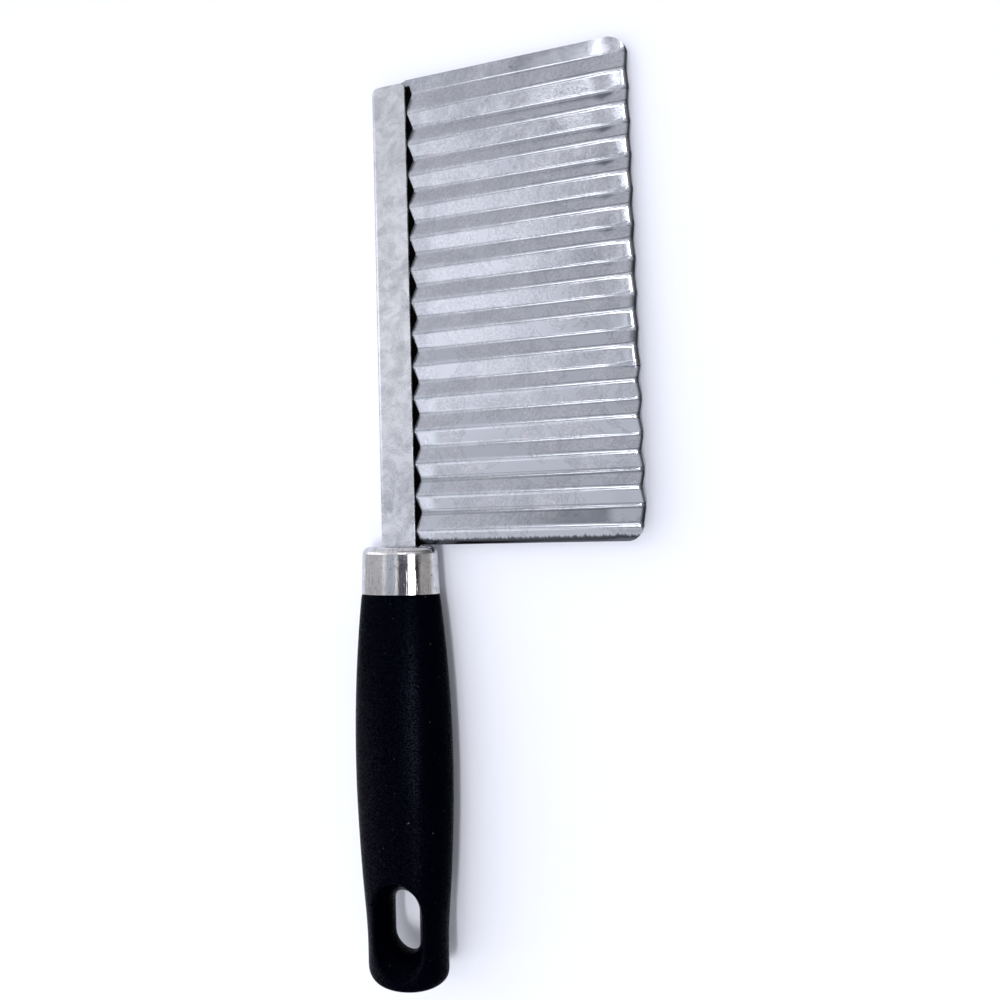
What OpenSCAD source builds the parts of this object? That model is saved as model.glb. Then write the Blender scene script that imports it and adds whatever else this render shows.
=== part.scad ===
// Crinkle cutter: a wide corrugated steel blade is gripped along its back by a folded steel spine.
// The tail of the spine runs through a drawn steel ferrule into a moulded handle with a hang slot.
// The cutter lies as it rests on a table: +X toward the cutting edge, +Y toward the toe, +Z up.

/* [Blade] */
// Length of the blade along the spine
blade_length = 150.6; // [130:0.2:170]
// Reach of the cutting edge past the lip of the spine
blade_reach = 72.2; // [55:0.2:85]
// Thickness of the blade sheet
sheet = 0.9; // [0.7:0.1:1.2]
// Distance from one crest of the corrugation to the next
wave_pitch = 10.4; // [9:0.1:12]
// Rise of the corrugation from valley to crest, measured in the middle of the sheet
wave_height = 2.6; // [2:0.1:3.2]
// Radius of each bend, measured in the middle of the sheet
bend_r = 1.8; // [1.5:0.1:2.2]
// Distance from the heel edge to the first crest
first_crest = 4.5; // [3:0.1:6]
// Radius of the corner between the toe and the cutting edge
toe_r = 6.5; // [4:0.5:9]
// Radius of the corner between the heel and the cutting edge
heel_r = 5; // [3:0.5:8]
// Width of the bevel ground along the cutting edge
bevel_w = 0.9; // [0.7:0.1:1.6]
// Thickness left at the cutting edge
edge_t = 0.3; // [0.2:0.05:0.5]

/* [Spine] */
// Width of the folded spine, from its back to its lip
spine_w = 12.2; // [10:0.2:14]
// Offset of the spine's middle from the handle's axis
spine_offset = 0.7; // [0:0.1:1.2]
// Thickness of the spine strip
spine_wall = 0.9; // [0.7:0.1:1.1]
// Outer radius of the folds at the back of the spine
fold_r = 1.6; // [1.3:0.1:1.9]
// Distance by which the spine stops short of the toe
toe_setback = 1.7; // [0.5:0.1:3]
// Radius of the corner between the spine's back and its toe end
back_corner_r = 2; // [1:0.2:3]
// Radius of the corners between the spine's lips and its toe end
lip_corner_r = 1.4; // [0.8:0.2:3]
// Length of the tail inside the ferrule and the handle
tail_length = 72; // [50:1:80]

/* [Ferrule] */
// Length of the ferrule
ferrule_length = 15; // [12:0.5:18]
// Wall thickness of the ferrule
ferrule_wall = 0.8; // [0.6:0.1:1]
// Amount by which each side of the ferrule narrows toward the blade
ferrule_taper = 0.6; // [0.3:0.1:0.9]
// Radius of the rounded shoulder at the ferrule's mouth
shoulder_r = 2.5; // [1.8:0.1:3]
// Gap between the ferrule's mouth and the heel of the blade
heel_gap = 0.8; // [0.4:0.1:1.5]

/* [Handle] */
// Distance from the ferrule's mouth to the butt of the handle
butt_distance = 137.4; // [130:0.2:145]
// Greatest width of the grip
grip_w = 32.6; // [30:0.2:35]
// Greatest thickness of the grip
grip_t = 19.2; // [18:0.2:21]
// Radius of the grip's sides where it is widest
side_r = 7; // [6.5:0.1:7.5]
// Distance from the ferrule's mouth to the widest place of the grip
belly_distance = 65.5; // [62:0.5:69]
// Radius of the long swelling curve of the grip
barrel_r = 440; // [420:5:480]
// Amount by which each side of the grip's tail lies inside the widest place
tail_inset = 2.55; // [2:0.05:2.8]
// Radius of the rounded butt
butt_r = 8.6; // [8:0.2:10]

/* [Hang slot] */
// Width of the hang slot
slot_w = 9.6; // [8:0.2:11]
// Length of the hang slot
slot_length = 19; // [16:0.2:22]
// Distance from the middle of the hang slot to the butt
slot_to_butt = 21.8; // [20:0.2:24]
// Radius of the rounded rim of the hang slot
rim_r = 5.6; // [4.6:0.1:6.2]
// Height of the rim's outer edge above the middle of the handle
rim_height = 7.4; // [7:0.1:7.8]

/* [Fits] */
// Clearance between pieces that slide together
fit = 0.05; // [0.02:0.01:0.08]
// Clearance of the tail in the ferrule's mouth and in the handle's socket
socket_fit = 0.1; // [0.05:0.05:0.2]

/* [Hidden] */
$fn = 96;
// Segments of the long curves of the grip
long_fn = 720;
// Overlap by which cutting shapes run past the surfaces that they cut
over = 1;

// The blade and the spine, along the length, measured from the ferrule's mouth
heel_y = heel_gap;
toe_y = heel_y + blade_length;
spine_toe_y = toe_y - toe_setback;
blade_top = wave_height / 2 + sheet / 2;

// The spine across its width and its thickness
spine_t = 2 * (blade_top + fit + spine_wall);
spine_back = spine_offset - spine_w / 2;
spine_lip = spine_offset + spine_w / 2;
fold_inner_r = fold_r - spine_wall;

// The blade across its width, from inside the spine's fold to the cutting edge
blade_back = spine_back + fold_r;
edge_x = spine_lip + blade_reach;
bevel_angle = atan2(sheet - edge_t, bevel_w);
bevel_height = wave_height / cos(bevel_angle);
bevel_lift = sheet / 2 * (1 - cos(bevel_angle));

// Crests are counted from just below the heel to just past the toe, and each bend has short facets
crest_from = -1;
crest_to = ceil(blade_length / wave_pitch) + 1;
bend_steps = 4;

// The oval of the grip: side arcs on two axes, met by flatter crown arcs on two others.
// A slight easing makes the arcs cross just short of tangent.
side_x = grip_w / 2 - side_r;
oval_ease = 0.1;
oval_step = grip_t / 2 - side_r + oval_ease;
crown_depth = (side_x * side_x - oval_step * oval_step) / (2 * oval_step);
crown_r = grip_t / 2 + crown_depth;

// The grip's outline along its length
butt_y = -butt_distance;
belly_y = -belly_distance;
butt_arc_y = butt_y + sqrt(butt_r * butt_r - pow(butt_r + tail_inset - grip_t / 2, 2));
butt_floor_y = (butt_y + butt_arc_y - butt_r) / 2;
slot_y = butt_y + slot_to_butt;
rim_y = rim_height - rim_r;

// The ferrule's sides meet the grip flush at its shoulder and narrow toward the mouth
ferrule_inset = barrel_r - sqrt(barrel_r * barrel_r - pow(belly_distance - ferrule_length, 2));
taper_angle = atan2(ferrule_taper, ferrule_length);

// At rest the cutter stands on the grip's belly and on the toe of the spine
rest_run = spine_toe_y - belly_y;
rest_rise = barrel_r - grip_t / 2 + spine_t / 2;
rest_pitch = asin(barrel_r / norm([rest_run, rest_rise])) - atan2(rest_rise, rest_run);
rest_lift = spine_toe_y * sin(rest_pitch) + spine_t / 2 * cos(rest_pitch);
middle_x = (edge_x - grip_w / 2) / 2;
middle_y = (toe_y + butt_y) / 2 * cos(rest_pitch);

// Lays a piece down from the handle's own axes to its place on the table.
module at_rest() {
    translate([-middle_x, -middle_y, rest_lift])
        rotate([-rest_pitch, 0, 0])
            children();
}

// Slope of the straight flanks between the bends, for a corrugation of the given height.
function flank_angle(height) =
    let (spare = 2 * bend_r - height, half = wave_pitch / 2)
        asin(2 * bend_r / norm([half, spare])) - atan2(spare, half);

// Points along the corrugated surface that lies the given distance above the sheet's middle.
function wave_surface(height, distance) =
    let (slope = flank_angle(height), centre = height / 2 - bend_r)
        [for (crest = [crest_from:crest_to], up = [1, -1], step = [-bend_steps:bend_steps])
            let (
                middle = heel_y + first_crest + crest * wave_pitch + (up > 0 ? 0 : wave_pitch / 2),
                r = bend_r + up * distance,
                turn = slope * step / bend_steps
            )
                [middle + r * sin(turn), up * (centre + r * cos(turn))]
        ];

function reversed(points) = [for (i = [len(points) - 1:-1:0]) points[i]];

// The corrugated sheet seen from its edge.
module sheet_section() {
    intersection() {
        polygon(concat(
            wave_surface(wave_height, -sheet / 2),
            reversed(wave_surface(wave_height, sheet / 2))
        ));
        translate([heel_y, -wave_height])
            square([blade_length, 2 * wave_height]);
    }
}

// Everything above the corrugated face, tall enough to clear the blade.
module above_face(height) {
    face = wave_surface(height, sheet / 2);
    ceiling = 2 * wave_height;
    polygon(concat(face, [[face[len(face) - 1].x, ceiling], [face[0].x, ceiling]]));
}

// Turns a shape drawn along the length and the height so that it runs across the width.
module across(width) {
    rotate([90, 0, 90])
        linear_extrude(width)
            children();
}

// What a rounded corner takes away beyond its arc, drawn with the corner at the upper right.
module corner_cut(r) {
    difference() {
        translate([-r, -r])
            square(r + over);
        translate([-r, -r])
            circle(r);
    }
}

// A tall cutter through the blade or the spine for a corner at the given place.
module corner(place, r, side, end) {
    translate([place.x, place.y, -spine_t])
        mirror([side < 0 ? 1 : 0, 0, 0])
            mirror([0, end < 0 ? 1 : 0, 0])
                linear_extrude(2 * spine_t)
                    corner_cut(r);
}

module blade() {
    color("silver")
        at_rest()
            difference() {
                translate([blade_back, 0, 0])
                    across(edge_x - blade_back)
                        sheet_section();
                translate([edge_x - bevel_w, 0, bevel_lift])
                    rotate([0, bevel_angle, 0])
                        across(2 * bevel_w)
                            above_face(bevel_height);
                corner([edge_x, toe_y], toe_r, 1, 1);
                corner([edge_x, heel_y], heel_r, 1, -1);
            }
}

// One end of the folded section: a block with two rounded corners at its back.
module fold_block(back, r, half) {
    for (side = [-1, 1])
        translate([back + r, side * (half - r)])
            circle(r);
    translate([back, r - half])
        square([r, 2 * (half - r)]);
    translate([back + r, -half])
        square([spine_lip - back - r, 2 * half]);
}

module spine() {
    color("lightgray")
        at_rest()
            difference() {
                translate([0, spine_toe_y, 0])
                    rotate([90, 0, 0])
                        linear_extrude(spine_toe_y + tail_length)
                            difference() {
                                fold_block(spine_back, fold_r, spine_t / 2);
                                fold_block(spine_back + spine_wall, fold_inner_r, spine_t / 2 - spine_wall);
                            }
                corner([spine_back, spine_toe_y], back_corner_r, -1, 1);
                corner([spine_lip, spine_toe_y], lip_corner_r, 1, 1);
            }
}

// Turns an outline about one axis of the oval. The outline reads from $reach how far from
// that axis the widest part of the oval lies.
module turned(place, reach) {
    translate([place.x, place.y, 0])
        rotate_extrude() {
            $reach = reach;
            children();
        }
}

// Sweeps an outline round the oval: two flatter crowns, trimmed by rounded sides.
module oval_sweep() {
    intersection() {
        intersection() {
            turned([0, -crown_depth], crown_r)
                children();
            turned([0, crown_depth], crown_r)
                children();
        }
        union() {
            turned([-side_x, 0], side_r)
                children();
            turned([side_x, 0], side_r)
                children();
            translate([-side_x, -grip_t, butt_y - over])
                cube([2 * side_x, 2 * grip_t, butt_distance + 2 * over]);
        }
    }
}

// Stands a sweep along the handle's axis.
module along_handle() {
    rotate([-90, 0, 0])
        children();
}

// The ferrule's outline, the given distance inside its outer surface.
module ferrule_outline(inside, shoulder) {
    foot_x = $reach - ferrule_inset - inside;
    mouth_x = foot_x - (ferrule_length - inside) * tan(taper_angle);
    difference() {
        polygon([
            [0, -ferrule_length],
            [foot_x, -ferrule_length],
            [mouth_x, -inside],
            [0, -inside]
        ]);
        translate([mouth_x + shoulder * tan(taper_angle), -inside])
            corner_cut(shoulder);
    }
}

// The opening for the spine's tail, from the given depth up past the ferrule's mouth.
module tail_opening(depth) {
    translate([spine_back - socket_fit, -depth, -spine_t / 2 - socket_fit])
        cube([spine_w + 2 * socket_fit, depth + over, spine_t + 2 * socket_fit]);
}

module ferrule() {
    color("gainsboro")
        at_rest()
            difference() {
                along_handle()
                    oval_sweep()
                        ferrule_outline(0, shoulder_r);
                along_handle()
                    oval_sweep()
                        ferrule_outline(ferrule_wall, shoulder_r - ferrule_wall);
                tail_opening(ferrule_length + over);
            }
}

// The grip's outline: a swelling barrel that runs into a straight tail with a rounded butt.
module grip_outline() {
    tail_x = $reach - tail_inset;
    difference() {
        union() {
            intersection() {
                translate([$reach - barrel_r, belly_y])
                    circle(barrel_r, $fn = long_fn);
                translate([0, butt_arc_y])
                    square([$reach + over, -ferrule_length - butt_arc_y]);
            }
            translate([0, butt_floor_y])
                square([tail_x, belly_y - butt_floor_y]);
        }
        translate([tail_x, butt_arc_y - butt_r])
            mirror([0, 1])
                corner_cut(butt_r);
    }
}

// Half of the hang slot's section: a straight throat that flares over a rounded rim.
module slot_half() {
    rim_x = slot_w / 2 + rim_r;
    square([slot_w / 2, rim_y]);
    difference() {
        translate([0, rim_y])
            square([rim_x, rim_r]);
        translate([rim_x, rim_y])
            circle(rim_r);
    }
    polygon([
        [0, rim_height],
        [rim_x, rim_height],
        [rim_x + grip_t / 2, rim_height + grip_t / 2],
        [0, rim_height + grip_t / 2]
    ]);
}

// The slot's section above and below the middle of the handle.
module slot_section() {
    for (side = [0, 1])
        mirror([0, side])
            slot_half();
}

module hang_slot() {
    run = slot_length - slot_w;
    for (end = [0, 1])
        translate([0, slot_y, 0])
            mirror([0, end, 0])
                translate([0, run / 2, 0])
                    rotate_extrude(angle = 180)
                        slot_section();
    for (side = [0, 1])
        translate([0, slot_y + run / 2, 0])
            mirror([side, 0, 0])
                rotate([90, 0, 0])
                    linear_extrude(run)
                        slot_section();
}

module handle() {
    color("dimgray")
        at_rest()
            difference() {
                along_handle() {
                    oval_sweep()
                        grip_outline();
                    oval_sweep()
                        ferrule_outline(ferrule_wall + fit, shoulder_r - ferrule_wall);
                }
                tail_opening(tail_length + socket_fit);
                hang_slot();
            }
}

blade();
spine();
ferrule();
handle();
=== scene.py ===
from math import asin, atan2, cos, hypot, pi, radians, sin, sqrt, tan

import bmesh
import bpy
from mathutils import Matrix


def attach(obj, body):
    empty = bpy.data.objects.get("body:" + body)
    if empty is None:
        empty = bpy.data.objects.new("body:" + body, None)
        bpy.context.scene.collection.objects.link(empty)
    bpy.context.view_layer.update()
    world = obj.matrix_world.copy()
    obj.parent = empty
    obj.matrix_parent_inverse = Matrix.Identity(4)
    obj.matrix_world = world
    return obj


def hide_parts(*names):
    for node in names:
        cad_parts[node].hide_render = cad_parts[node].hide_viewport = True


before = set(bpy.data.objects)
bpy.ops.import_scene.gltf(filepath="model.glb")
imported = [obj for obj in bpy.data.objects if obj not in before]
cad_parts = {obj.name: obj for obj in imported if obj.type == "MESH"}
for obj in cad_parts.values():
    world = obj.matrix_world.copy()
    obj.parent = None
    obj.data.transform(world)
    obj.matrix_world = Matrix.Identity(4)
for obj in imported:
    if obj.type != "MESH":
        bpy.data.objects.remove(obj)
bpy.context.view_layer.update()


# Blade: one stainless sheet, pressed into an even corrugation from heel to toe and then trimmed. Its
# outer corners are rounded and a narrow bevel is ground along the cutting edge. The back edge is hidden
# in the folded spine, which is crimped onto it.
mm = 0.001
heel_y = 0.8 * mm
toe_y = 151.5 * mm
blade_back = -3.8 * mm
edge_x = 79.0 * mm
spine_lip = 6.8 * mm
sheet = 0.9 * mm
wave_pitch = 10.4 * mm
wave_height = 2.6 * mm
bend_r = 1.8 * mm
bend_steps = 6
first_crest = 4.5 * mm
last_bend = 27
heel_shift = 0.5 * mm
toe_stretch = 1.0 * mm
toe_slope = radians(23)
toe_slant = 0.28
toe_half_y = 52 * mm
toe_r = 6.5 * mm
heel_r = 5.8 * mm
roll_w = 1.7 * mm
roll_drop = 0.9 * mm
bevel_w = 0.9 * mm
edge_t = 0.3 * mm
edge_tilt = tan(radians(9))
sheared_edge_r = 0.09 * mm
same_place = 0.01 * mm
merge_gap = 0.005 * mm
rest_pitch = radians(1.90089)
rest_place = (-31.35 * mm, -6.99615 * mm, 7.66417 * mm)


def start(name):
    """Names the primitive just added, puts its place in its mesh and opens it for editing."""
    piece = bpy.context.object
    piece.name = name
    piece.data.name = name
    bpy.ops.object.transform_apply(location=True, rotation=True, scale=True)
    bpy.ops.object.mode_set(mode="EDIT")
    return piece


def select(piece, test):
    """Selects the vertices whose place passes the test, with the edges and faces between them."""
    mesh = bmesh.from_edit_mesh(piece.data)
    mesh.select_mode = {"VERT"}
    for vertex in mesh.verts:
        vertex.select_set(bool(test(vertex.co)))
    mesh.select_flush_mode()
    bmesh.update_edit_mesh(piece.data)


def round_corner(centre, r, first, last):
    """Trims a corner of the open piece to an arc, seen from above, with cuts that touch the arc."""
    cuts = 9
    for cut in range(cuts):
        turn = radians(first + (last - first) * (cut + 0.5) / cuts)
        normal = (cos(turn), sin(turn), 0)
        bpy.ops.mesh.select_all(action="SELECT")
        bpy.ops.mesh.bisect(
            plane_co=(centre[0] + r * normal[0], centre[1] + r * normal[1], 0),
            plane_no=normal, clear_outer=True)


def join_points():
    """Merges the points of the open piece that coincide, and turns its faces one way."""
    bpy.ops.mesh.select_all(action="SELECT")
    bpy.ops.mesh.remove_doubles(threshold=merge_gap)
    bpy.ops.mesh.normals_make_consistent(inside=False)


def pick(piece):
    """Selects one piece alone and makes it the active one."""
    bpy.ops.object.select_all(action="DESELECT")
    piece.select_set(True)
    bpy.context.view_layer.objects.active = piece


def modify(piece, kind, **settings):
    """Adds a modifier with its settings and applies it."""
    modifier = piece.modifiers.new(kind.title(), kind)
    for key, value in settings.items():
        setattr(modifier, key, value)
    bpy.ops.object.modifier_apply(modifier=modifier.name)


def break_edges(piece, edge_r):
    """Takes the sharpness off a metal piece's edges, and shades it smooth between them."""
    modify(piece, "BEVEL", width=edge_r, segments=2, limit_method="ANGLE", angle_limit=radians(50))
    bpy.ops.object.shade_smooth_by_angle(angle=radians(35))
    modify(piece, "WEIGHTED_NORMAL", weight=80, keep_sharp=True)


def lay_down(piece):
    """Takes a piece from the handle's own axes to its place on the table."""
    piece.rotation_euler = (-rest_pitch, 0, 0)
    piece.location = rest_place
    pick(piece)
    bpy.ops.object.transform_apply(location=True, rotation=True, scale=True)


# The path of the sheet's underside, along the length and the height: bends up and down, half a pitch
# apart, the first two a little nearer the heel. The last strip at the toe is longer and pressed flatter,
# and the shears have rolled the heel's edge down.
spare = 2 * bend_r - wave_height
slope = asin(2 * bend_r / hypot(wave_pitch / 2, spare)) - atan2(spare, wave_pitch / 2)
underside = []
for bend in range(-1, last_bend + 1):
    up = 1 if bend % 2 == 0 else -1
    middle = heel_y + first_crest + bend * wave_pitch / 2
    if bend < 1:
        middle -= heel_shift
    if bend == last_bend:
        middle += toe_stretch
    r = bend_r - up * sheet / 2
    for step in range(-bend_steps, bend_steps + 1):
        turn = slope * step / bend_steps
        if bend == last_bend and step > 0:
            turn = toe_slope * step / bend_steps
        underside.append((middle + r * sin(turn), up * (wave_height / 2 - bend_r + r * cos(turn))))
end_y, end_z = underside[-1]
underside.append((toe_y, end_z + (toe_y - end_y) * tan(toe_slope)))
past_roll = heel_y + 1.1 * roll_w
trimmed = []
for (y0, z0), (y1, z1) in zip(underside, underside[1:]):
    if y0 < heel_y < y1:
        for part in (0, 0.25, 0.5, 0.75, 1):
            y = heel_y + part * roll_w
            trimmed.append((y, z0 + (z1 - z0) * (y - y0) / (y1 - y0)))
    if y1 > past_roll:
        trimmed.append((y1, z1))
trimmed = [(y, z - roll_drop * max(0, 1 - (y - heel_y) / roll_w) ** 2) for y, z in trimmed]

# One edge of a plane becomes the heel, and is drawn out bend by bend to the toe.
width = edge_x - blade_back
bpy.ops.object.select_all(action="DESELECT")
bpy.ops.mesh.primitive_plane_add(
    size=width, location=(blade_back + width / 2, trimmed[0][0] + width / 2, trimmed[0][1]))
blade = start("blade_sheet")
select(blade, lambda v: v.y > trimmed[0][0] + width / 2)
bpy.ops.mesh.delete(type="VERT")
bpy.ops.mesh.select_all(action="SELECT")
for (y0, z0), (y1, z1) in zip(trimmed, trimmed[1:]):
    bpy.ops.mesh.extrude_region_move(TRANSFORM_OT_translate={"value": (0, y1 - y0, z1 - z0)})

# Each point keeps how deep it lies below the crests, for the highlight painted on the crests and the
# painted shade along the valleys.
bpy.ops.object.mode_set(mode="OBJECT")
depth = blade.data.attributes.new("depth", "FLOAT", "POINT")
for vertex in blade.data.vertices:
    depth.data[vertex.index].value = 0.5 - vertex.co.z / wave_height
bpy.ops.object.mode_set(mode="EDIT")

# The press leaves the corrugation flatter toward the cutting edge, most of all in the toe's half, and the
# crimp of the spine flattens it at the back. The wheel that trims the edge leans in, so the crests end
# before the valleys. The hidden back corner at the toe is cut off at a slant.
for cut_x, heel_half, toe_half in ((blade_back, 0.78, 0.78), (spine_lip - 1.5 * mm, 0.78, 0.78),
                                   (spine_lip + 1.5 * mm, 0.84, 0.84), (spine_lip + 4 * mm, 0.94, 0.94),
                                   (spine_lip + 8 * mm, 1, 1), (edge_x - 12 * mm, 1, 1),
                                   (edge_x - 8 * mm, 0.99, 0.95), (edge_x - 5.5 * mm, 0.97, 0.85),
                                   (edge_x - 3.5 * mm, 0.95, 0.71), (edge_x - 2 * mm, 0.93, 0.57),
                                   (edge_x, 0.9, 0.42)):
    bpy.ops.mesh.select_all(action="SELECT")
    bpy.ops.mesh.bisect(plane_co=(cut_x, 0, 0), plane_no=(1, 0, 0))
    for side, flatten in ((-1, heel_half), (1, toe_half)):
        select(blade, lambda v: abs(v.x - cut_x) < same_place and side * (v.y - toe_half_y) > 0)
        bpy.ops.transform.resize(value=(1, 1, flatten), center_override=(0, 0, 0))
for cut_x, trim in ((edge_x - bevel_w, False), (edge_x, True)):
    bpy.ops.mesh.select_all(action="SELECT")
    bpy.ops.mesh.bisect(
        plane_co=(cut_x, 0, -wave_height / 2), plane_no=(1, 0, edge_tilt), clear_outer=trim)
bpy.ops.mesh.select_all(action="SELECT")
bpy.ops.mesh.bisect(plane_co=(spine_lip, toe_y, 0), plane_no=(-toe_slant, 1, 0), clear_outer=True)
round_corner((edge_x - toe_r, toe_y - toe_r), toe_r, 0, 90)
round_corner((edge_x - heel_r, heel_y + heel_r), heel_r, -90, 0)
join_points()
if bmesh.from_edit_mesh(blade.data).faces[:][0].normal.z < 0:
    bpy.ops.mesh.flip_normals()
bpy.ops.object.mode_set(mode="OBJECT")

# The sheet's thickness, which the bevel takes down at the cutting edge. Each point keeps how far into the
# bevel it lies.
ground = blade.data.attributes.new("ground", "FLOAT", "POINT")
for vertex in blade.data.vertices:
    past = vertex.co.x - edge_x + bevel_w + (vertex.co.z + wave_height / 2) * edge_tilt
    ground.data[vertex.index].value = min(1, max(0, past / bevel_w))
bevelled = [point.value for point in ground.data]
thickness = blade.vertex_groups.new(name="thickness")
for index, share in enumerate(bevelled):
    thickness.add([index], 1 - share * (1 - edge_t / sheet), "REPLACE")
modify(blade, "SOLIDIFY", thickness=sheet, offset=1, use_even_offset=True, vertex_group="thickness")
break_edges(blade, sheared_edge_r)
lay_down(blade)


def colour(code):
    """An sRGB hex colour as linear values."""
    parts = [int(code[i:i + 2], 16) / 255 for i in (0, 2, 4)]
    return [p / 12.92 if p <= 0.04045 else ((p + 0.055) / 1.055) ** 2.4 for p in parts] + [1]


def add(owner, kind, inputs, **settings):
    """Adds a node to a material or world: settings on the node, then values and links on its inputs.

    Inputs that share a name go by number: a colour mix has its share at 0 and its colours at 6 and 7."""
    node = owner.node_tree.nodes.new(kind)
    for key, value in settings.items():
        setattr(node, key, value)
    for key, value in inputs.items():
        if isinstance(value, bpy.types.NodeSocket):
            owner.node_tree.links.new(value, node.inputs[key])
        else:
            node.inputs[key].default_value = value
    return node


def finish_of(piece, name):
    """Gives a piece its own new material, and returns it with its shader."""
    material = bpy.data.materials.new(name)
    material.use_nodes = True
    piece.data.materials.clear()
    piece.data.materials.append(material)
    return material, material.node_tree.nodes["Principled BSDF"]


# Cold-rolled stainless sheet with a satin skin: cloudy patches 9 mm across from the pickling bath, a fine
# grain, drawn 0.9 mm wide so that it shows, and smooth pale blotches with a dark rim where water has
# dried, more of them toward the heel. A highlight is painted along the crests, and a dark line of painted
# shade along the valleys by the heel. A ragged dark band painted along the heel stands for the reflection
# in its rolled edge, painted shade darkens the cutting edge's bevel, and painted black shade fills the
# crevice under the spine's lip.
heel_at = heel_y + rest_place[1]
toe_at = toe_y + rest_place[1]
lip_at = spine_lip + rest_place[0]
dried_per_m = -0.9
# How far the painted dark band along the heel reaches into the sheet.
heel_reflection_reach = 2.4 * mm
# How far the painted shade under the spine's lip reaches out of the valleys.
lip_shade_reach = 1.2 * mm
steel, shader = finish_of(blade, "satin_rolled_stainless")
place = add(steel, "ShaderNodeTexCoord", {}).outputs["Object"]
parts = add(steel, "ShaderNodeSeparateXYZ", {0: place}).outputs
clouds = add(steel, "ShaderNodeTexNoise", {
    "Vector": place, "Scale": 1 / (9 * mm), "Detail": 4, "Roughness": 0.6,
    "Distortion": 0.5}).outputs[0]
cloud_tone = add(steel, "ShaderNodeMapRange", {
    "Value": clouds, "From Min": 0.3, "From Max": 0.7}).outputs[0]
base = add(steel, "ShaderNodeMix", {
    0: cloud_tone, 6: colour("a8abb5"), 7: colour("babcc5")}, data_type="RGBA").outputs[2]
grain = add(steel, "ShaderNodeTexNoise", {
    "Vector": place, "Scale": 1 / (0.9 * mm), "Detail": 4, "Roughness": 0.8}).outputs[0]
grain_tone = add(steel, "ShaderNodeMapRange", {
    "Value": grain, "From Min": 0.33, "From Max": 0.67}).outputs[0]
dimmed = add(steel, "ShaderNodeMapRange", {
    "Value": grain_tone, "To Min": 0.84, "To Max": 1.12}).outputs[0]
base = add(steel, "ShaderNodeMix", {
    0: 1.0, 6: base, 7: dimmed}, data_type="RGBA", blend_type="MULTIPLY").outputs[2]
blotches = add(steel, "ShaderNodeTexNoise", {
    "Vector": place, "Scale": 1 / (19 * mm), "Detail": 7, "Roughness": 0.66,
    "Distortion": 0.9}).outputs[0]
blotches = add(steel, "ShaderNodeMath", {
    0: parts["Y"], 1: dried_per_m, 2: blotches}, operation="MULTIPLY_ADD").outputs[0]
dried = add(steel, "ShaderNodeMapRange", {
    "Value": blotches, "From Min": 0.49, "From Max": 0.505}).outputs[0]
base = add(steel, "ShaderNodeMix", {
    0: dried, 6: base, 7: colour("b2b6c0")}, data_type="RGBA").outputs[2]
rim = add(steel, "ShaderNodeMath", {0: blotches, 1: 0.496, 2: 0.005}, operation="COMPARE").outputs[0]
rim = add(steel, "ShaderNodeMath", {0: rim, 1: grain_tone}, operation="MULTIPLY").outputs[0]
base = add(steel, "ShaderNodeMix", {
    0: rim, 6: base, 7: colour("94969e")}, data_type="RGBA").outputs[2]
deep = add(steel, "ShaderNodeAttribute", {}, attribute_name="depth").outputs["Fac"]
# Painted highlight: the tops of the crests are painted near white.
painted_crest_highlight = add(steel, "ShaderNodeMapRange", {
    "Value": deep, "From Min": 0.03, "From Max": 0.011}).outputs[0]
base = add(steel, "ShaderNodeMix", {
    0: painted_crest_highlight, 6: base, 7: colour("fcfdff")}, data_type="RGBA").outputs[2]
# Painted shade: a dark line along the valley bottoms, toward the heel.
valley = add(steel, "ShaderNodeMapRange", {
    "Value": deep, "From Min": 0.9965, "From Max": 0.999}).outputs[0]
by_heel = add(steel, "ShaderNodeMapRange", {
    "Value": parts["Y"], "From Min": heel_at + 30 * mm, "From Max": heel_at + 24 * mm,
    "To Max": 0.28}).outputs[0]
painted_valley_shade = add(steel, "ShaderNodeMath", {0: valley, 1: by_heel}, operation="MULTIPLY").outputs[0]
base = add(steel, "ShaderNodeMix", {
    0: painted_valley_shade, 6: base, 7: colour("2e2f34")}, data_type="RGBA").outputs[2]
# Painted shade: the bevel along the cutting edge is painted darker.
into_bevel = add(steel, "ShaderNodeAttribute", {}, attribute_name="ground").outputs["Fac"]
painted_bevel_shade = add(steel, "ShaderNodeMapRange", {
    "Value": into_bevel, "From Min": 0.1, "From Max": 0.45}).outputs[0]
base = add(steel, "ShaderNodeMix", {
    0: painted_bevel_shade, 6: base, 7: colour("74767e")}, data_type="RGBA").outputs[2]
# Painted reflection: a ragged dark band along the heel's edge stands for what its rolled edge reflects.
ticks = add(steel, "ShaderNodeMapping", {
    "Vector": place, "Scale": (1 / (0.7 * mm), 1 / (5 * mm), 1 / (5 * mm))}).outputs[0]
ticks = add(steel, "ShaderNodeTexNoise", {"Vector": ticks, "Scale": 1, "Detail": 3}).outputs[0]
painted_heel_reflection = add(steel, "ShaderNodeMath", {
    0: ticks, 1: -heel_reflection_reach, 2: parts["Y"]}, operation="MULTIPLY_ADD").outputs[0]
painted_heel_reflection = add(steel, "ShaderNodeMapRange", {
    "Value": painted_heel_reflection, "From Min": heel_at + 0.3 * mm, "From Max": heel_at - 0.3 * mm}).outputs[0]
base = add(steel, "ShaderNodeMix", {
    0: painted_heel_reflection, 6: base, 7: colour("5a5c63")}, data_type="RGBA").outputs[2]
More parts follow.
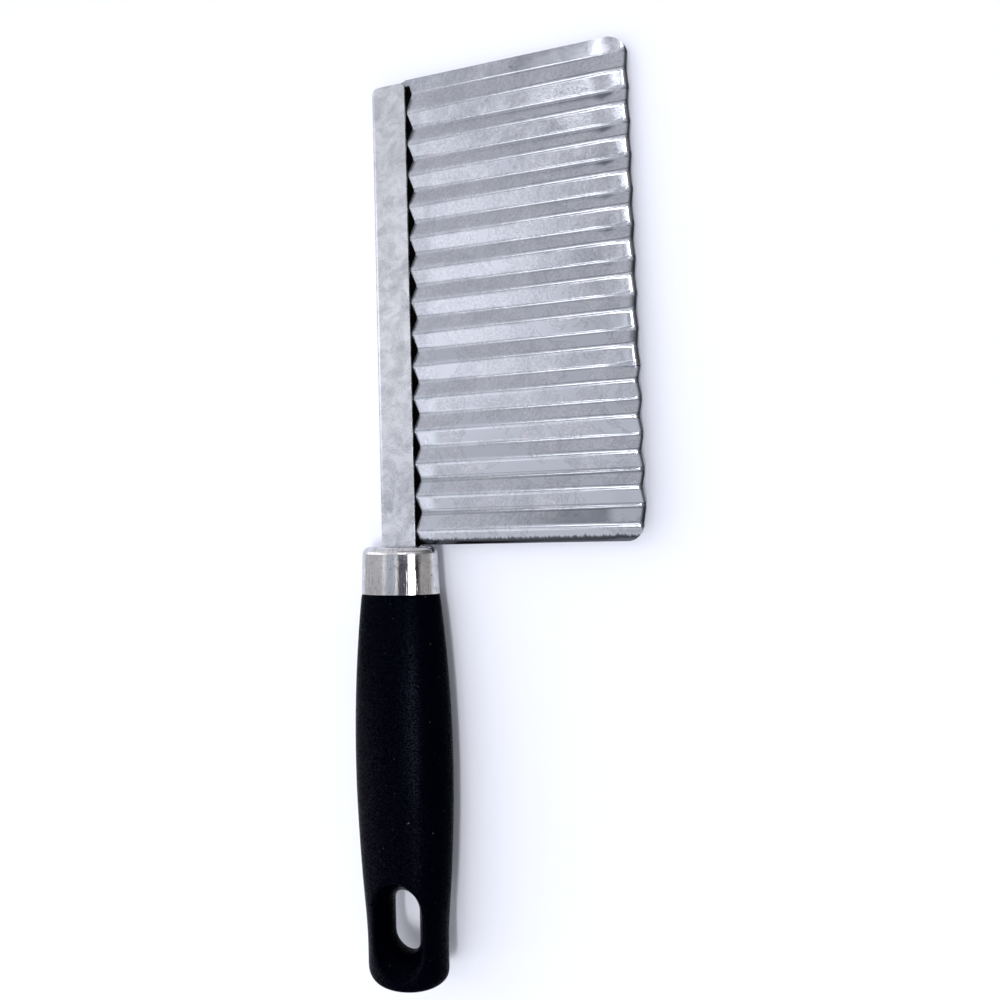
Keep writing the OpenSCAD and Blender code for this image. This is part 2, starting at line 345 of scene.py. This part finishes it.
# Painted shade: the blade under the spine's lip is painted black, reaching further out in the valleys.
under = add(steel, "ShaderNodeMath", {
    0: deep, 1: -lip_shade_reach, 2: parts["X"]}, operation="MULTIPLY_ADD").outputs[0]
painted_lip_shade = add(steel, "ShaderNodeMapRange", {
    "Value": under, "From Min": lip_at + 0.15 * mm, "From Max": lip_at - 0.15 * mm}).outputs[0]
covered = add(steel, "ShaderNodeMapRange", {
    "Value": parts["Y"], "From Min": toe_at - 1.6 * mm, "From Max": toe_at - 2.4 * mm}).outputs[0]
painted_lip_shade = add(steel, "ShaderNodeMath", {0: painted_lip_shade, 1: covered}, operation="MULTIPLY").outputs[0]
base = add(steel, "ShaderNodeMix", {
    0: painted_lip_shade, 6: base, 7: colour("0c0c0d")}, data_type="RGBA").outputs[2]
gloss = add(steel, "ShaderNodeMapRange", {
    "Value": clouds, "From Min": 0.3, "From Max": 0.7, "To Min": 0.15, "To Max": 0.21}).outputs[0]
gloss = add(steel, "ShaderNodeMath", {0: painted_lip_shade, 1: 0.5, 2: gloss}, operation="MULTIPLY_ADD").outputs[0]
dents = add(steel, "ShaderNodeBump", {
    "Height": clouds, "Distance": 0.1 * mm, "Strength": 0.18}).outputs[0]
rough = add(steel, "ShaderNodeMapRange", {"Value": dried, "To Min": 0.6, "To Max": 0.1}).outputs[0]
relief = add(steel, "ShaderNodeBump", {
    "Height": grain_tone, "Distance": 0.008 * mm, "Strength": rough, "Normal": dents}).outputs[0]
steel.node_tree.links.new(base, shader.inputs["Base Color"])
steel.node_tree.links.new(gloss, shader.inputs["Roughness"])
steel.node_tree.links.new(relief, shader.inputs["Normal"])
shader.inputs["Metallic"].default_value = 1
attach(blade, "root")
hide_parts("blade")


# Spine: one stainless strip folded lengthwise into a channel that grips the back of the blade. Its toe
# end is trimmed round, and its tail runs on through the ferrule into the handle.
spine_back = -5.4 * mm
spine_half = 2.7 * mm
spine_wall = 0.9 * mm
fold_r = 1.6 * mm
fold_steps = 8
spine_toe = 149.7 * mm
tail_end = -72.0 * mm
back_corner_r = 3.0 * mm
lip_corner_r = 2.2 * mm
strip_edge_r = 0.14 * mm
strip = [(spine_lip, spine_half)]
for side in (1, -1):
    for step in range(fold_steps + 1):
        turn = pi / 2 * step / fold_steps
        if side < 0:
            turn = pi / 2 - turn
        strip.append((spine_back + fold_r - fold_r * sin(turn),
                      side * (spine_half - fold_r + fold_r * cos(turn))))
strip.append((spine_lip, -spine_half))

# One edge of a plane becomes the upper lip, and is folded round the back to the lower lip.
length = spine_toe - tail_end
bpy.ops.object.select_all(action="DESELECT")
bpy.ops.mesh.primitive_plane_add(
    size=length, location=(spine_lip + length / 2, tail_end + length / 2, spine_half))
spine = start("spine_channel")
select(spine, lambda v: v.x > spine_lip + length / 2)
bpy.ops.mesh.delete(type="VERT")
bpy.ops.mesh.select_all(action="SELECT")
for (x0, z0), (x1, z1) in zip(strip, strip[1:]):
    bpy.ops.mesh.extrude_region_move(TRANSFORM_OT_translate={"value": (x1 - x0, 0, z1 - z0)})
round_corner((spine_back + back_corner_r, spine_toe - back_corner_r), back_corner_r, 90, 180)
round_corner((spine_lip - lip_corner_r, spine_toe - lip_corner_r), lip_corner_r, 0, 90)
join_points()
upper = max(bmesh.from_edit_mesh(spine.data).faces, key=lambda face: face.calc_center_median().z)
if upper.normal.z < 0:
    bpy.ops.mesh.flip_normals()
bpy.ops.object.mode_set(mode="OBJECT")
modify(spine, "SOLIDIFY", thickness=spine_wall, offset=-1, use_even_offset=True)
break_edges(spine, strip_edge_r)
lay_down(spine)

# Stainless strip with a rolled satin face: faint draw lines along the length, drawn 0.5 mm apart so that
# they show, cloudy smudges from handling and a few dark specks.
strip_steel, shader = finish_of(spine, "satin_stainless_strip")
place = add(strip_steel, "ShaderNodeTexCoord", {}).outputs["Object"]
smudges = add(strip_steel, "ShaderNodeTexNoise", {
    "Vector": place, "Scale": 1 / (6 * mm), "Detail": 7, "Roughness": 0.72,
    "Distortion": 0.5}).outputs[0]
drawn = add(strip_steel, "ShaderNodeMapping", {
    "Vector": place, "Scale": (1 / (0.5 * mm), 1 / (30 * mm), 1 / (0.5 * mm))}).outputs[0]
lines = add(strip_steel, "ShaderNodeTexNoise", {"Vector": drawn, "Scale": 1, "Detail": 3}).outputs[0]
grain = add(strip_steel, "ShaderNodeTexNoise", {
    "Vector": place, "Scale": 1 / (0.8 * mm), "Detail": 4, "Roughness": 0.65}).outputs[0]
smudge_tone = add(strip_steel, "ShaderNodeMapRange", {
    "Value": smudges, "From Min": 0.35, "From Max": 0.65}).outputs[0]
specks = add(strip_steel, "ShaderNodeMapRange", {
    "Value": grain, "From Min": 0.64, "From Max": 0.74}).outputs[0]
base = add(strip_steel, "ShaderNodeMix", {
    0: smudge_tone, 6: colour("a9aab1"), 7: colour("cbccd3")}, data_type="RGBA").outputs[2]
base = add(strip_steel, "ShaderNodeMix", {
    0: specks, 6: base, 7: colour("7d7e84")}, data_type="RGBA").outputs[2]
gloss = add(strip_steel, "ShaderNodeMapRange", {
    "Value": smudges, "From Min": 0.3, "From Max": 0.7, "To Min": 0.22, "To Max": 0.32}).outputs[0]
height = add(strip_steel, "ShaderNodeMath", {0: lines, 1: grain}, operation="ADD").outputs[0]
relief = add(strip_steel, "ShaderNodeBump", {
    "Height": height, "Distance": 0.016 * mm, "Strength": 0.6}).outputs[0]
strip_steel.node_tree.links.new(base, shader.inputs["Base Color"])
strip_steel.node_tree.links.new(gloss, shader.inputs["Roughness"])
strip_steel.node_tree.links.new(relief, shader.inputs["Normal"])
shader.inputs["Metallic"].default_value = 1
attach(spine, "root")
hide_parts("spine")


# Ferrule: a steel cap drawn to an oval, with a rounded shoulder and a mouth pierced for the spine's tail.
# It is pressed over the neck of the handle, flush with the grip, and polished.
grip_half_w = 16.3 * mm
grip_half_t = 9.6 * mm
belly_y = -65.5 * mm
barrel_r = 440 * mm
oval_sides = 128
ferrule_length = 15 * mm
ferrule_wall = 0.8 * mm
ferrule_taper = 0.6 * mm
ferrule_edge_r = 0.15 * mm
shoulder_r = 2.5 * mm
shoulder_steps = 10
wall_steps = 4
socket_fit = 0.1 * mm
punch_reach = 4 * mm
ferrule_inset = barrel_r - sqrt(barrel_r ** 2 - (belly_y + ferrule_length) ** 2)


def oval_ring(name, y, half_w, half_t):
    """Starts a piece as an oval ring at one place along the handle."""
    bpy.ops.object.select_all(action="DESELECT")
    bpy.ops.mesh.primitive_circle_add(
        vertices=oval_sides, radius=1, rotation=(pi / 2, 0, 0), location=(0, y, 0))
    bpy.context.object.scale = (half_w, half_t, 1)
    return start(name)


def draw_oval(stations):
    """Draws the selected ring on from the first station, through ovals of half a width and thickness."""
    for (y0, w0, t0), (y1, w1, t1) in zip(stations, stations[1:]):
        bpy.ops.mesh.extrude_region_move(TRANSFORM_OT_translate={"value": (0, y1 - y0, 0)})
        bpy.ops.transform.resize(value=(w1 / w0, 1, t1 / t0), center_override=(0, y1, 0))


cap_w = grip_half_w - ferrule_inset
cap_t = grip_half_t - ferrule_inset
wall = []
for step in range(wall_steps + 1):
    along = (ferrule_length - shoulder_r) * step / wall_steps
    taper = ferrule_taper * along / ferrule_length
    wall.append((along - ferrule_length, cap_w - taper, cap_t - taper))
for step in range(1, shoulder_steps + 1):
    turn = pi / 2 * step / shoulder_steps
    rounded = taper + shoulder_r * (1 - cos(turn))
    wall.append((shoulder_r * (sin(turn) - 1), cap_w - rounded, cap_t - rounded))
ferrule = oval_ring("ferrule_cap", *wall[0])
draw_oval(wall)
bpy.ops.mesh.edge_face_add()
bpy.ops.mesh.select_all(action="SELECT")
bpy.ops.mesh.normals_make_consistent(inside=False)
bpy.ops.object.mode_set(mode="OBJECT")
modify(ferrule, "SOLIDIFY", thickness=ferrule_wall, offset=-1, use_even_offset=True)

# The mouth is pierced with a punch the size of the tail and its clearance.
bpy.ops.object.select_all(action="DESELECT")
bpy.ops.mesh.primitive_cube_add(size=1, location=((spine_back + spine_lip) / 2, 0, 0))
punch = bpy.context.object
punch.scale = (spine_lip - spine_back + 2 * socket_fit, punch_reach, 2 * (spine_half + socket_fit))
bpy.ops.object.transform_apply(location=True, rotation=True, scale=True)
pick(ferrule)
modify(ferrule, "BOOLEAN", operation="DIFFERENCE", object=punch)
bpy.data.objects.remove(punch)
break_edges(ferrule, ferrule_edge_r)
lay_down(ferrule)

# Polished drawn steel: close to a mirror. Lengthwise draw lines, drawn 0.5 mm apart so that they show,
# break up the edges of what it reflects. Scratches run across them, and handling has left smudges and a
# few dark specks.
polish, shader = finish_of(ferrule, "polished_drawn_steel")
place = add(polish, "ShaderNodeTexCoord", {}).outputs["Object"]
drawn = add(polish, "ShaderNodeMapping", {
    "Vector": place, "Scale": (1 / (0.5 * mm), 1 / (4 * mm), 1 / (0.5 * mm))}).outputs[0]
lines = add(polish, "ShaderNodeTexNoise", {"Vector": drawn, "Scale": 1, "Detail": 4}).outputs[0]
slanted = add(polish, "ShaderNodeMapping", {
    "Vector": place, "Rotation": (0, 0, radians(50)),
    "Scale": (1 / (0.35 * mm), 1 / (5 * mm), 1 / (5 * mm))}).outputs[0]
scratches = add(polish, "ShaderNodeTexNoise", {"Vector": slanted, "Scale": 1, "Detail": 3}).outputs[0]
scratches = add(polish, "ShaderNodeMapRange", {
    "Value": scratches, "From Min": 0.58, "From Max": 0.68}).outputs[0]
smudges = add(polish, "ShaderNodeTexNoise", {
    "Vector": place, "Scale": 1 / (5 * mm), "Detail": 6, "Roughness": 0.65,
    "Distortion": 0.6}).outputs[0]
smudge_tone = add(polish, "ShaderNodeMapRange", {
    "Value": smudges, "From Min": 0.35, "From Max": 0.75}).outputs[0]
specks = add(polish, "ShaderNodeTexNoise", {
    "Vector": place, "Scale": 1 / (0.9 * mm), "Detail": 3, "Roughness": 0.6}).outputs[0]
specks = add(polish, "ShaderNodeMapRange", {
    "Value": specks, "From Min": 0.63, "From Max": 0.71}).outputs[0]
base = add(polish, "ShaderNodeMix", {
    0: smudge_tone, 6: colour("d3d3d6"), 7: colour("b0b0b3")}, data_type="RGBA").outputs[2]
base = add(polish, "ShaderNodeMix", {
    0: scratches, 6: base, 7: colour("a6a6aa")}, data_type="RGBA").outputs[2]
base = add(polish, "ShaderNodeMix", {
    0: specks, 6: base, 7: colour("5e5e63")}, data_type="RGBA").outputs[2]
gloss = add(polish, "ShaderNodeMapRange", {
    "Value": smudges, "From Min": 0.35, "From Max": 0.75, "To Min": 0.04, "To Max": 0.14}).outputs[0]
dents = add(polish, "ShaderNodeBump", {
    "Height": smudges, "Distance": 0.1 * mm, "Strength": 0.35}).outputs[0]
scored = add(polish, "ShaderNodeBump", {
    "Height": scratches, "Distance": -0.008 * mm, "Strength": 0.5, "Normal": dents}).outputs[0]
relief = add(polish, "ShaderNodeBump", {
    "Height": lines, "Distance": 0.012 * mm, "Strength": 0.5, "Normal": scored}).outputs[0]
polish.node_tree.links.new(base, shader.inputs["Base Color"])
polish.node_tree.links.new(gloss, shader.inputs["Roughness"])
polish.node_tree.links.new(relief, shader.inputs["Normal"])
shader.inputs["Metallic"].default_value = 1
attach(ferrule, "root")
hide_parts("ferrule")


# Handle: one moulding in black polypropylene. The oval grip swells in the hand and runs into a straight
# tail with a rounded butt, a neck fills the ferrule, and the hang slot near the butt has a soft rim.
butt_y = -134.6 * mm
tail_half_w = 13.15 * mm
tail_half_t = 9.0 * mm
ease_from = -80 * mm
ease_reach = 6
barrel_steps = 60
butt_round_w = 5.8 * mm
butt_round_t = 2.3 * mm
butt_curve_w = 2.9
butt_curve_t = 2.1
butt_steps = 26
butt_flat = 0.9995
slot_y = -115.7 * mm
slot_half = 4.8 * mm
slot_run = 9.3 * mm
slot_sides = 96
waist_r = 6.6 * mm
waist_steps = 10
flare = radians(35)
core_spare = 2 * mm
neck_gap = 0.05 * mm
mould_grid = 0.45 * mm


def grip_half(y, widest, tail):
    """Half the grip's width or thickness: a long barrel that runs into a straight tail."""
    barrel = widest - barrel_r + sqrt(barrel_r ** 2 - (y - belly_y) ** 2)
    return max(barrel, tail) if y < belly_y else barrel


def rounded_end(y, half, reach, power):
    """How half a size closes over the last reach before the butt."""
    past = min(butt_flat, max(0, (butt_y + reach - y) / reach))
    return half * (1 - past ** power) ** (1 / power)


# The outline eases from the barrel into the tail, as the tool that cut the mould left it: each place
# takes the mean of what lies within 6 mm.
body = []
for step in range(barrel_steps + 1):
    y = -ferrule_length + (butt_y + butt_round_w + ferrule_length) * step / barrel_steps
    reach = ease_reach if y < ease_from else 0
    near = [y + shift * mm for shift in range(-reach, reach + 1)]
    body.append((y, sum(grip_half(at, grip_half_w, tail_half_w) for at in near) / len(near),
                 sum(grip_half(at, grip_half_t, tail_half_t) for at in near) / len(near)))
for step in range(1, butt_steps + 1):
    y = butt_y + butt_round_w * (1 - step / butt_steps) ** 2
    body.append((y, rounded_end(y, tail_half_w, butt_round_w, butt_curve_w),
                 rounded_end(y, tail_half_t, butt_round_t, butt_curve_t)))
grip = oval_ring("handle_grip", *body[0])
draw_oval(body)
bpy.ops.mesh.edge_face_add()
select(grip, lambda v: v.y > -ferrule_length - same_place)
neck_w = cap_w - ferrule_wall - neck_gap
neck_t = cap_t - ferrule_wall - neck_gap
neck_y = -ferrule_wall - neck_gap
neck_end = ferrule_taper + 0.7 * shoulder_r
draw_oval([body[0], (-ferrule_length, neck_w, neck_t),
           (neck_y - shoulder_r, neck_w - ferrule_taper, neck_t - ferrule_taper),
           (neck_y, neck_w - neck_end, neck_t - neck_end)])
bpy.ops.mesh.edge_face_add()
join_points()
bpy.ops.object.mode_set(mode="OBJECT")

# The core that forms the slot is a bobbin, round at the waist and flared to both faces, and is drawn out
# to the slot's length.
waist = []
for step in range(waist_steps + 1):
    turn = flare * (1 - step / waist_steps)
    waist.append((waist_r * sin(turn), slot_half + waist_r * (1 - cos(turn))))
top = grip_half_t + core_spare
bobbin = [(top, waist[0][1] + (top - waist[0][0]) * tan(flare))] + waist
bobbin += [(-z, r) for z, r in reversed(bobbin[:-1])]
bpy.ops.object.select_all(action="DESELECT")
bpy.ops.mesh.primitive_circle_add(
    vertices=slot_sides, radius=bobbin[0][1], fill_type="NGON", location=(0, slot_y, bobbin[0][0]),
    rotation=(0, 0, pi / slot_sides))
core = start("slot_core")
bpy.ops.mesh.select_all(action="SELECT")
for (z0, r0), (z1, r1) in zip(bobbin, bobbin[1:]):
    bpy.ops.mesh.extrude_region_move(TRANSFORM_OT_translate={"value": (0, 0, z1 - z0)})
    bpy.ops.transform.resize(value=(r1 / r0, r1 / r0, 1), center_override=(0, slot_y, z1))
for side in (1, -1):
    select(core, lambda v: (v.y - slot_y) * side > 0)
    bpy.ops.transform.translate(value=(0, side * slot_run / 2, 0))
bpy.ops.mesh.select_all(action="SELECT")
bpy.ops.mesh.normals_make_consistent(inside=False)
bpy.ops.object.mode_set(mode="OBJECT")
pick(grip)
modify(grip, "BOOLEAN", operation="DIFFERENCE", object=core)
bpy.data.objects.remove(core)
modify(grip, "REMESH", mode="VOXEL", voxel_size=mould_grid)
modify(grip, "SMOOTH", factor=0.5, iterations=10)
bpy.ops.object.shade_smooth()
lay_down(grip)

# Black polypropylene from a spark-eroded mould: a fine grain, drawn 0.5 mm from pit to pit so that it
# shows, breaks the light into a soft sheen of small glints. There are a few pale specks of dust, and
# patches worn smoother by the hand.
plastic, shader = finish_of(grip, "moulded_black_polypropylene")
place = add(plastic, "ShaderNodeTexCoord", {}).outputs["Object"]
grain = add(plastic, "ShaderNodeTexNoise", {
    "Vector": place, "Scale": 1 / (0.5 * mm), "Detail": 3, "Roughness": 0.6}).outputs[0]
wear = add(plastic, "ShaderNodeTexNoise", {
    "Vector": place, "Scale": 1 / (22 * mm), "Detail": 4, "Roughness": 0.6}).outputs[0]
dust = add(plastic, "ShaderNodeTexNoise", {
    "Vector": place, "Scale": 1 / (1.1 * mm), "Detail": 2, "Roughness": 0.5}).outputs[0]
dust = add(plastic, "ShaderNodeMapRange", {
    "Value": dust, "From Min": 0.74, "From Max": 0.8}).outputs[0]
base = add(plastic, "ShaderNodeMix", {
    0: wear, 6: colour("000004"), 7: colour("010207")}, data_type="RGBA").outputs[2]
base = add(plastic, "ShaderNodeMix", {
    0: dust, 6: base, 7: colour("4a4c52")}, data_type="RGBA").outputs[2]
gloss = add(plastic, "ShaderNodeMapRange", {
    "Value": wear, "From Min": 0.3, "From Max": 0.7, "To Min": 0.24, "To Max": 0.32}).outputs[0]
shine = add(plastic, "ShaderNodeMapRange", {
    "Value": grain, "From Min": 0.44, "From Max": 0.74, "To Min": 0.003, "To Max": 0.06}).outputs[0]
relief = add(plastic, "ShaderNodeBump", {
    "Height": grain, "Distance": 0.05 * mm, "Strength": 0.5}).outputs[0]
plastic.node_tree.links.new(base, shader.inputs["Base Color"])
plastic.node_tree.links.new(gloss, shader.inputs["Roughness"])
plastic.node_tree.links.new(relief, shader.inputs["Normal"])
plastic.node_tree.links.new(shine, shader.inputs["Specular IOR Level"])
shader.inputs["Specular Tint"].default_value = colour("c4d0ff")
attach(grip, "root")
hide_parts("handle")


# Table: a plain white top that keeps the cutter's soft shadow. What the camera and the steel see of it
# is lifted to white, and no light comes from that.
table_size = 6
bpy.ops.object.select_all(action="DESELECT")
bpy.ops.mesh.primitive_plane_add(size=table_size)
table = bpy.context.object
table.name = "table"
white, shader = finish_of(table, "white_table_top")
seen = add(white, "ShaderNodeLightPath", {})
looked_at = add(white, "ShaderNodeMath", {
    0: seen.outputs["Is Camera Ray"], 1: seen.outputs["Is Glossy Ray"]}, operation="MAXIMUM").outputs[0]
looked_at = add(white, "ShaderNodeMath", {
    0: looked_at, 1: seen.outputs["Is Transmission Ray"]}, operation="MAXIMUM").outputs[0]
white.node_tree.links.new(looked_at, shader.inputs["Emission Strength"])
shader.inputs["Emission Color"].default_value = colour("252627")
shader.inputs["Base Color"].default_value = colour("e5e7f3")
shader.inputs["Roughness"].default_value = 0.7
shader.inputs["Specular IOR Level"].default_value = 0.1


# Light: a pale studio with a wide light wall on the left and three soft lamps high above. Two dark cards
# across the room draw dark lines along the bends of the sheet and the shoulder of the ferrule, and the
# polished steel mirrors a row of windows with dark frames.
cool = 1.03
room = bpy.data.worlds.new("pale_room")
bpy.context.scene.world = room
room.use_nodes = True
sky = room.node_tree.nodes["Background"]
toward = add(room, "ShaderNodeTexCoord", {}).outputs["Generated"]
parts = add(room, "ShaderNodeSeparateXYZ", {0: toward}).outputs
tone = colour("fbfcff")

# Soft patches on the walls and the ceiling: where each lies, how many degrees from there it is full and
# where it has faded out, and how bright it is.
for axis, inner, outer, level in (((0, 1, 0.1), 8, 50, 0.78), ((0, -1, 0.05), 5, 35, 0.4),
                                  ((1, 0.1, 0.4), 10, 70, 0.2), ((-0.45, -0.42, 0.79), 6, 26, 1.02),
                                  ((-0.87, 0, 0.5), 8, 33, 2.5), ((-0.37, -0.19, 0.91), 3, 7, 1.5),
                                  ((-0.36, -0.46, 0.81), 3, 11, 1.7),
                                  ((-0.08, -0.52, 0.85), 4, 11.5, 0.4)):
    length = hypot(*axis)
    near = add(room, "ShaderNodeVectorMath", {
        0: toward, 1: [part / length for part in axis]}, operation="DOT_PRODUCT").outputs["Value"]
    share = add(room, "ShaderNodeMapRange", {
        "Value": near, "From Min": cos(radians(outer)), "From Max": cos(radians(inner))},
        interpolation_type="SMOOTHSTEP").outputs[0]
    tone = add(room, "ShaderNodeMix", {
        0: share, 6: tone, 7: (level, level, level * cool, 1)}, data_type="RGBA").outputs[2]

# The edges of the two cards, from the butt's end of the room to the toe's, and of the windows, in degrees
# from straight up: colour and brightness of each.
lengthwise = add(room, "ShaderNodeMapRange", {
    "Value": parts["Y"], "From Min": -1, "From Max": 1}).outputs[0]
cards = add(room, "ShaderNodeValToRGB", {0: lengthwise})
card_edges = ((-0.395, "ffffff", 1), (-0.375, "707074", 1), (-0.31, "707074", 1), (-0.29, "ffffff", 1),
              (0.58, "ffffff", 1), (0.61, "8a8a8e", 1), (0.72, "8a8a8e", 1), (0.77, "ffffff", 1))
across = add(room, "ShaderNodeMath", {0: parts["X"], 1: parts["Z"]}, operation="ARCTAN2").outputs[0]
across = add(room, "ShaderNodeMapRange", {
    "Value": across, "From Min": -pi / 2, "From Max": pi / 2}).outputs[0]
windows = add(room, "ShaderNodeValToRGB", {0: across})
pane_edges = ((-90, "d3d2d4", 1), (-42, "d0cfd1", 1), (-39, "ffffff", 1), (-36, "ffffff", 1),
              (-33, "c6ced8", 1), (-22, "c2cad4", 1), (-20, "ffffff", 1), (-17, "ffffff", 1),
              (-15, "565562", 1), (1, "4e4c58", 1), (3, "ffffff", 9), (11, "ffffff", 9),
              (14, "1c1c1f", 1), (21, "2a2a2d", 1), (28, "bdbab8", 1), (60, "b4b1b0", 1),
              (90, "8d8c8c", 1))
for ramp, edges, reach in ((cards.color_ramp, card_edges, 1), (windows.color_ramp, pane_edges, 90)):
    for index, (at, code, level) in enumerate(edges):
        place = (at + reach) / (2 * reach)
        stop = ramp.elements[0] if index == 0 else ramp.elements.new(place)
        stop.position = place
        stop.color = [level * part for part in colour(code)]
    ramp.elements.remove(ramp.elements[len(edges)])

# The cards stop short of the light wall, and the windows stand in a band across the room, over the
# ferrule.
share = add(room, "ShaderNodeMapRange", {
    "Value": parts["X"], "From Min": -0.32, "From Max": -0.26}).outputs[0]
tone = add(room, "ShaderNodeMix", {
    0: share, 6: tone, 7: cards.outputs[0]}, data_type="RGBA", blend_type="MULTIPLY").outputs[2]
off_band = add(room, "ShaderNodeMath", {0: parts["Y"]}, operation="ABSOLUTE").outputs[0]
share = add(room, "ShaderNodeMapRange", {
    "Value": off_band, "From Min": 0.15, "From Max": 0.07}).outputs[0]
tone = add(room, "ShaderNodeMix", {
    0: share, 6: tone, 7: windows.outputs[0]}, data_type="RGBA").outputs[2]
room.node_tree.links.new(tone, sky.inputs["Color"])
sky.inputs["Strength"].default_value = 1.03

# The three lamps, each turned to face the cutter.
for name, spot, tilt, lean, size_x, size_y, energy in (
        ("front_lamp", (-0.27, -0.51, 2.94), 9.8, -5.2, 0.45, 0.82, 7),
        ("rear_lamp", (-0.5, 0.72, 2.85), -13.9, -9.9, 0.6, 0.3, 3),
        ("strip_lamp", (0.4, -0.6, 2.9), 11.6, 7.8, 0.22, 0.8, 24)):
    bpy.ops.object.select_all(action="DESELECT")
    bpy.ops.object.light_add(type="AREA", location=spot, rotation=(radians(tilt), radians(lean), 0))
    lamp = bpy.context.object
    lamp.name = name
    lamp.data.shape = "RECTANGLE"
    lamp.data.size = size_x
    lamp.data.size_y = size_y
    lamp.data.energy = energy


# Camera: held above the blade's heel, a little to the right, and looking down to the left.
bpy.ops.object.select_all(action="DESELECT")
bpy.ops.object.camera_add(
    location=(0.08962, 0.0092, 0.25326), rotation=(radians(0.7789), radians(19.3204), radians(-2.4996)))
camera = bpy.context.object
camera.data.lens = 30.6
camera.data.shift_y = -0.0328
camera.data.clip_start = 0.01
bpy.context.scene.camera = camera
bpy.context.scene.view_settings.view_transform = "Standard"
